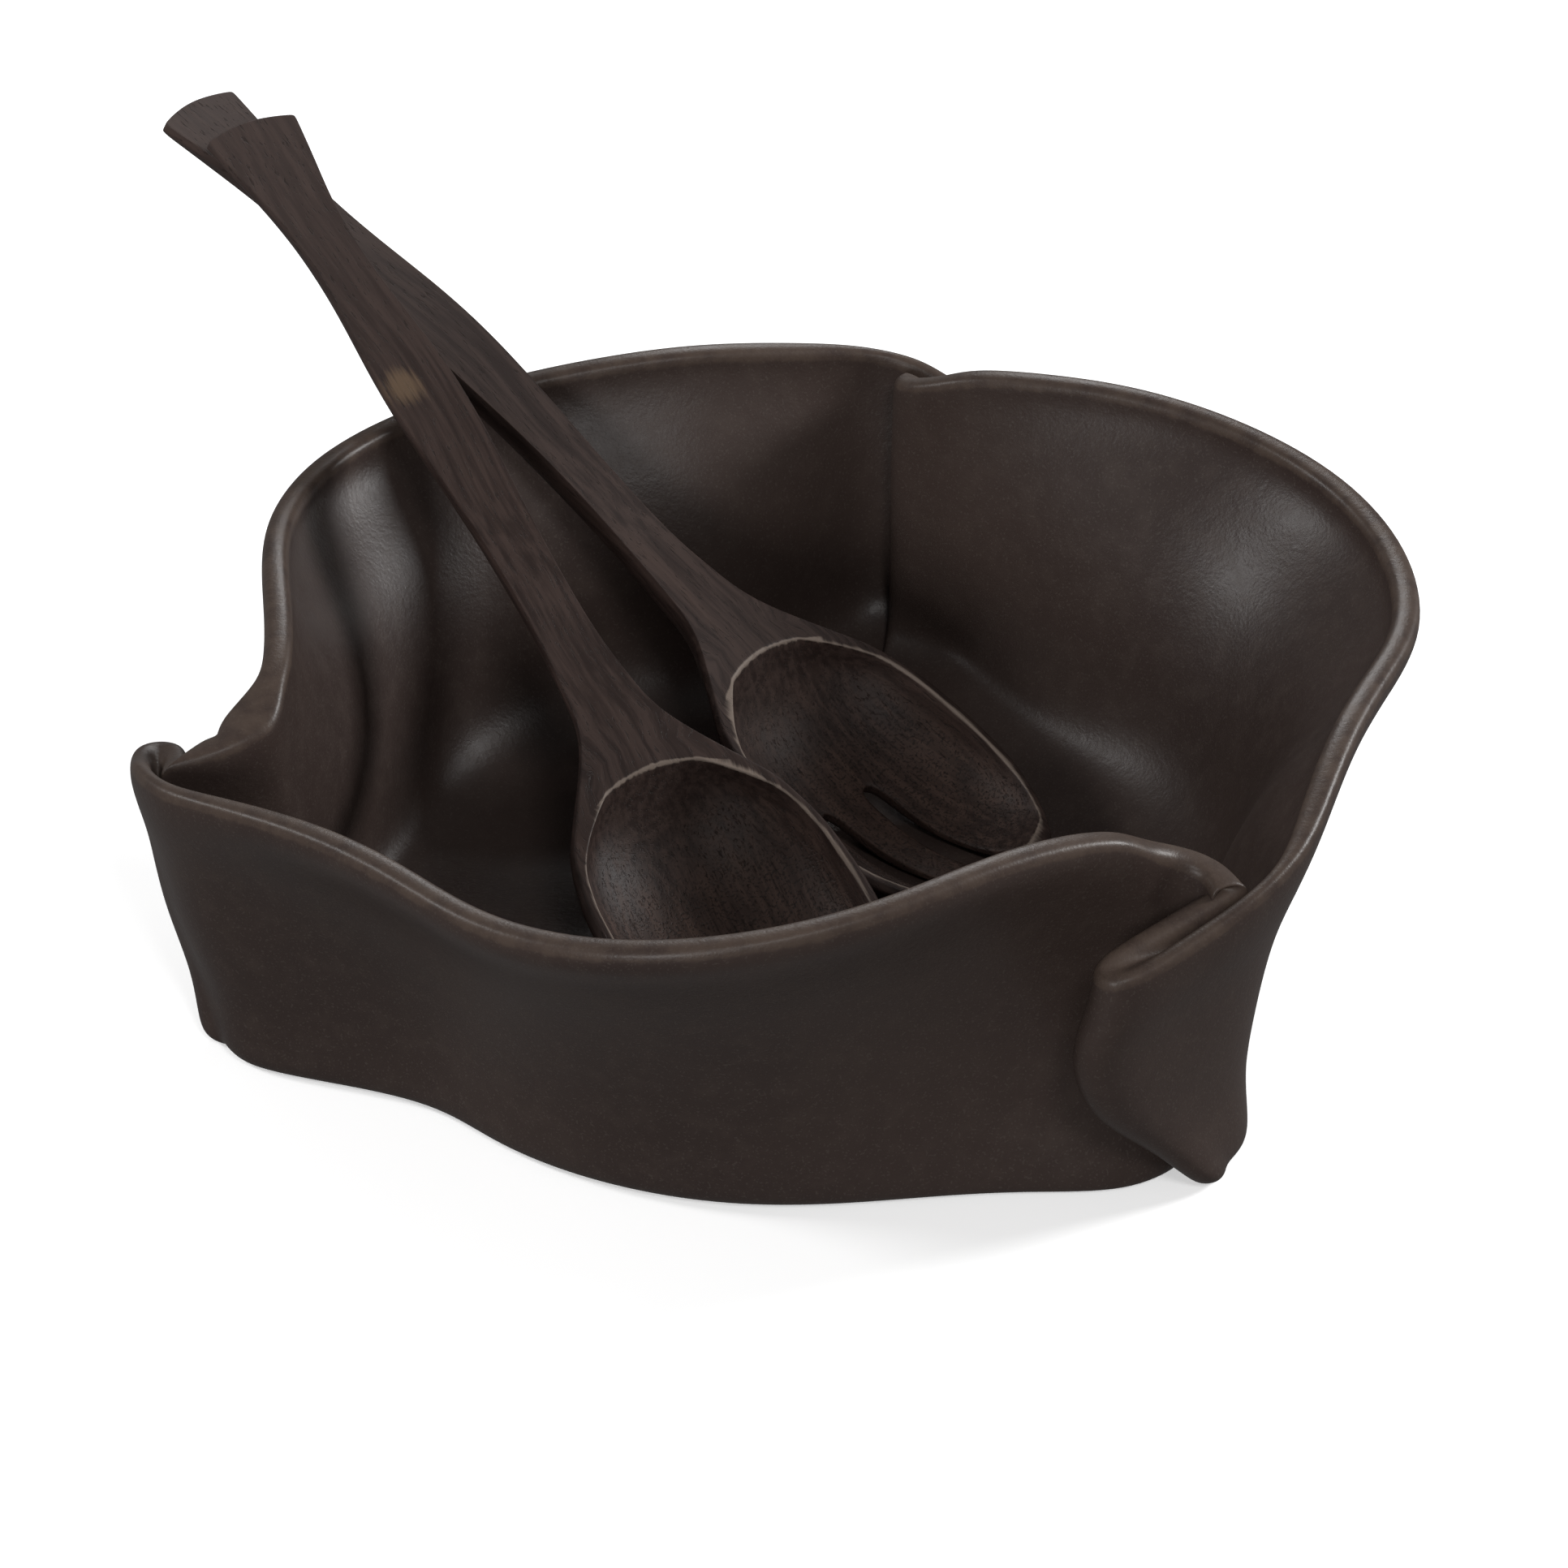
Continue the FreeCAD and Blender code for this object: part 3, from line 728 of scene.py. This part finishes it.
# %% A small language for finishes
class Wire:
    """One output socket, on which Python's own arithmetic adds Math nodes."""

    def __init__(self, finish, socket):
        self.finish, self.socket = finish, socket

    def maths(self, operation, *values):
        return self.finish.node("ShaderNodeMath", {"operation": operation}, dict(enumerate(values)))

    def __add__(self, other):
        return self.maths("ADD", self, other)

    def __sub__(self, other):
        return self.maths("SUBTRACT", self, other)

    def __rsub__(self, other):
        return self.maths("SUBTRACT", other, self)

    def __mul__(self, other):
        return self.maths("MULTIPLY", self, other)

    __radd__, __rmul__ = __add__, __mul__

    def between(self, low, high):
        """0 below low, 1 above high and a smooth step between them."""
        return self.finish.node("ShaderNodeMapRange", {"interpolation_type": "SMOOTHSTEP"},
                                {"Value": self, "From Min": low, "From Max": high})


class Finish:
    """A material under construction."""

    def __init__(self, name):
        self.material = bpy.data.materials.new(name)
        self.material.use_nodes = True
        self.material.node_tree.nodes.clear()

    def node(self, kind, settings=None, inputs=None, out=0):
        """Add a node: its settings first, then the values or wires of its sockets."""
        made = self.material.node_tree.nodes.new(kind)
        for key, value in (settings or {}).items():
            setattr(made, key, value)
        for key, value in (inputs or {}).items():
            if isinstance(value, Wire):
                self.material.node_tree.links.new(value.socket, made.inputs[key])
            else:
                made.inputs[key].default_value = value
        return None if out is None else Wire(self, made.outputs[out])

    def noise(self, vector, scale, detail=2.0, rough=0.5):
        return self.node("ShaderNodeTexNoise", None,
                         {"Vector": vector, "Scale": scale, "Detail": detail, "Roughness": rough})

    def blend(self, share, first, second):
        """Mix two colours."""
        return self.node("ShaderNodeMix", {"data_type": "RGBA"}, {0: share, 6: first, 7: second}, out=2)

    def relief(self, height, distance, strength=1.0):
        return self.node("ShaderNodeBump", None,
                         {"Height": height, "Distance": distance, "Strength": strength})

    def done(self, colour, roughness, normal, **fixed):
        fixed = {key.replace("_", " "): value for key, value in fixed.items()}
        shader = self.node("ShaderNodeBsdfPrincipled", None,
                           {"Base Color": colour, "Roughness": roughness, "Normal": normal, **fixed})
        self.node("ShaderNodeOutputMaterial", None, {"Surface": shader}, out=None)
        return self.material


print("a wire also works on the right:", sorted(w for w in vars(Wire) if w.startswith("__r")))

# %% [markdown]
# The glaze is a dark brown matte one, fired over a groggy body. Close up it has the
# fine pebbling of orange peel, which breaks every highlight into sparkles, and a
# slow change of tone where it lay thicker. Along the two edges of the lip it ran
# thin, and a warmer brown shows through.

# %% Matte glaze
GLAZE_THICK, GLAZE_COMMON = (0.0345, 0.0235, 0.0205, 1), (0.0440, 0.0305, 0.0262, 1)
GLAZE_MOTTLE, GLAZE_SPECK = (0.058, 0.042, 0.035, 1), (0.085, 0.070, 0.060, 1)
GLAZE_THIN = (0.085, 0.060, 0.046, 1)
GLAZE_ROUGH, GLAZE_SHINE, PEEL_DEPTH = 0.40, 0.24, 0.00022


def matte_glaze():
    glaze = Finish("matte_glaze")
    place = glaze.node("ShaderNodeTexCoord", None, None, out="Object")
    cloud = glaze.noise(place, 11.0, 3.0)
    mottle = glaze.noise(place, 160.0, 4.0, 0.6)
    peel = glaze.noise(place, 1150.0, 2.0, 0.55)
    pebble = glaze.noise(place, 420.0, 1.0)
    speck = glaze.noise(place, 1700.0, 0.0).between(0.66, 0.74)
    lip = glaze.node("ShaderNodeAttribute", {"attribute_name": "thin_glaze"}, None, out="Fac")
    colour = glaze.blend(cloud.between(0.35, 0.68), GLAZE_THICK, GLAZE_COMMON)
    colour = glaze.blend(mottle.between(0.42, 0.75) * 0.35, colour, GLAZE_MOTTLE)
    colour = glaze.blend(speck * 0.30, colour, GLAZE_SPECK)
    worn = (lip + (mottle - 0.5) * 0.9).between(0.72, 1.15)
    colour = glaze.blend(worn * 0.55, colour, GLAZE_THIN)
    roughness = GLAZE_ROUGH + (mottle - 0.5) * 0.16 + (cloud - 0.5) * 0.06
    relief = glaze.relief(peel * 0.6 + pebble * 0.55, PEEL_DEPTH, 0.55)
    return glaze.done(colour, roughness, relief, Specular_IOR_Level=GLAZE_SHINE)


bowl.data.materials.append(matte_glaze())
print("glaze has", len(bpy.data.materials["matte_glaze"].node_tree.nodes), "nodes")

# %% [markdown]
# The servers are a dark tropical wood, stained darker still and oiled. Its figure is
# long streaks along the handle, with short dark pores. The grain follows the piece
# and not the room, so it reads an attribute that holds each point's place on the
# server as it lay on the bench. A second attribute marks the arrises, which use has
# rubbed through to the pale wood.

# %% Stained wood
STAIN_DARK, STAIN_LIGHT = (0.0190, 0.0115, 0.0098, 1), (0.040, 0.0255, 0.0215, 1)
WOOD_BAND, WOOD_HANDLE_END = (0.060, 0.038, 0.031, 1), (0.080, 0.058, 0.052, 1)
WOOD_HOLLOW, WOOD_PORE = (0.085, 0.050, 0.037, 1), (0.012, 0.0075, 0.006, 1)
WOOD_RUBBED, WOOD_BARE = (0.16, 0.105, 0.062, 1), (0.22, 0.175, 0.145, 1)
WOOD_ROUGH, WOOD_SHINE, GRAIN_DEPTH = 0.52, 0.16, 0.00018
FIBRE_ALONG, PORE_ALONG = 0.045, 0.14    # scale along the wood: a small one makes long marks
RUB_REACH = 0.007                # metres from the middle of the rubbed spot to its edge


def stained_wood(name, offset, rub_at):
    wood = Finish(name)
    bench = wood.node("ShaderNodeAttribute", {"attribute_name": "grain"}, None, out="Vector")
    along = wood.node("ShaderNodeSeparateXYZ", None, {0: bench}, out=1)
    seed = wood.node("ShaderNodeVectorMath", {"operation": "ADD"}, {0: bench, 1: offset})
    bend = wood.noise(seed, 14.0, 1.0)
    bent = wood.node("ShaderNodeVectorMath", {"operation": "MULTIPLY_ADD"},
                     {0: wood.node("ShaderNodeCombineXYZ", None, {0: bend, 2: bend}),
                      1: (0.012, 0.0, 0.012), 2: seed})
    fibre = wood.node("ShaderNodeMapping", None, {"Vector": bent, "Scale": (1.0, FIBRE_ALONG, 1.0)})
    pores = wood.node("ShaderNodeMapping", None, {"Vector": bent, "Scale": (1.0, PORE_ALONG, 1.0)})
    streak = wood.noise(fibre, 520.0, 5.0, 0.62)
    band = wood.noise(fibre, 120.0, 2.0)
    pore = wood.noise(pores, 1700.0, 2.0, 0.6).between(0.60, 0.67)
    cloud = wood.noise(seed, 26.0, 3.0)
    worn = wood.node("ShaderNodeAttribute", {"attribute_name": "worn"}, None, out="Fac")
    hollow = wood.node("ShaderNodeAttribute", {"attribute_name": "hollow"}, None, out="Fac")
    stipple = wood.noise(seed, 1300.0, 1.0).between(0.52, 0.66) * hollow

    colour = wood.blend(streak.between(0.36, 0.66), STAIN_DARK, STAIN_LIGHT)
    colour = wood.blend(band.between(0.5, 0.72) * 0.45, colour, WOOD_BAND)
    # the wood grows lighter towards the end of the handle
    colour = wood.blend(along.between(0.16, 0.32) * 0.30, colour, WOOD_HANDLE_END)
    lighter = hollow * (cloud.between(0.35, 0.7) * 0.4 + streak.between(0.45, 0.7) * 0.25)
    colour = wood.blend(lighter, colour, WOOD_HOLLOW)
    colour = wood.blend(stipple * 0.7 + pore * 0.6, colour, WOOD_PORE)
    spot = wood.node("ShaderNodeVectorMath", {"operation": "DISTANCE"},
                     {0: bench, 1: rub_at}, out="Value")
    rubbed = (RUB_REACH - spot + (streak - 0.5) * 0.012).between(0.0, 0.005)
    colour = wood.blend(rubbed * 0.5, colour, WOOD_RUBBED)
    edge = (worn + (streak - 0.5) * 0.22 + (cloud - 0.5) * 0.28).between(0.91, 1.00)
    colour = wood.blend(edge * 0.7, colour, WOOD_BARE)

    roughness = WOOD_ROUGH + (streak - 0.5) * 0.22 + pore * 0.12
    relief = wood.relief(streak * 0.4 - pore * 0.9 - stipple * 0.6, GRAIN_DEPTH, 0.6)
    return wood.done(colour, roughness, relief, Specular_IOR_Level=WOOD_SHINE)


SPOON_RUB = (-0.004, 0.212, 0.009)       # the rubbed spot on the spoon's handle
NO_RUB = (0.0, 1.0, 0.0)                 # far off the end of the fork
spoon.data.materials.append(stained_wood("spoon_wood", (0.31, 0.0, 0.07), SPOON_RUB))
fork.data.materials.append(stained_wood("fork_wood", (0.93, 0.4, 0.55), NO_RUB))
print("finishes:", sorted(m.name for m in bpy.data.materials))

# %% [markdown]
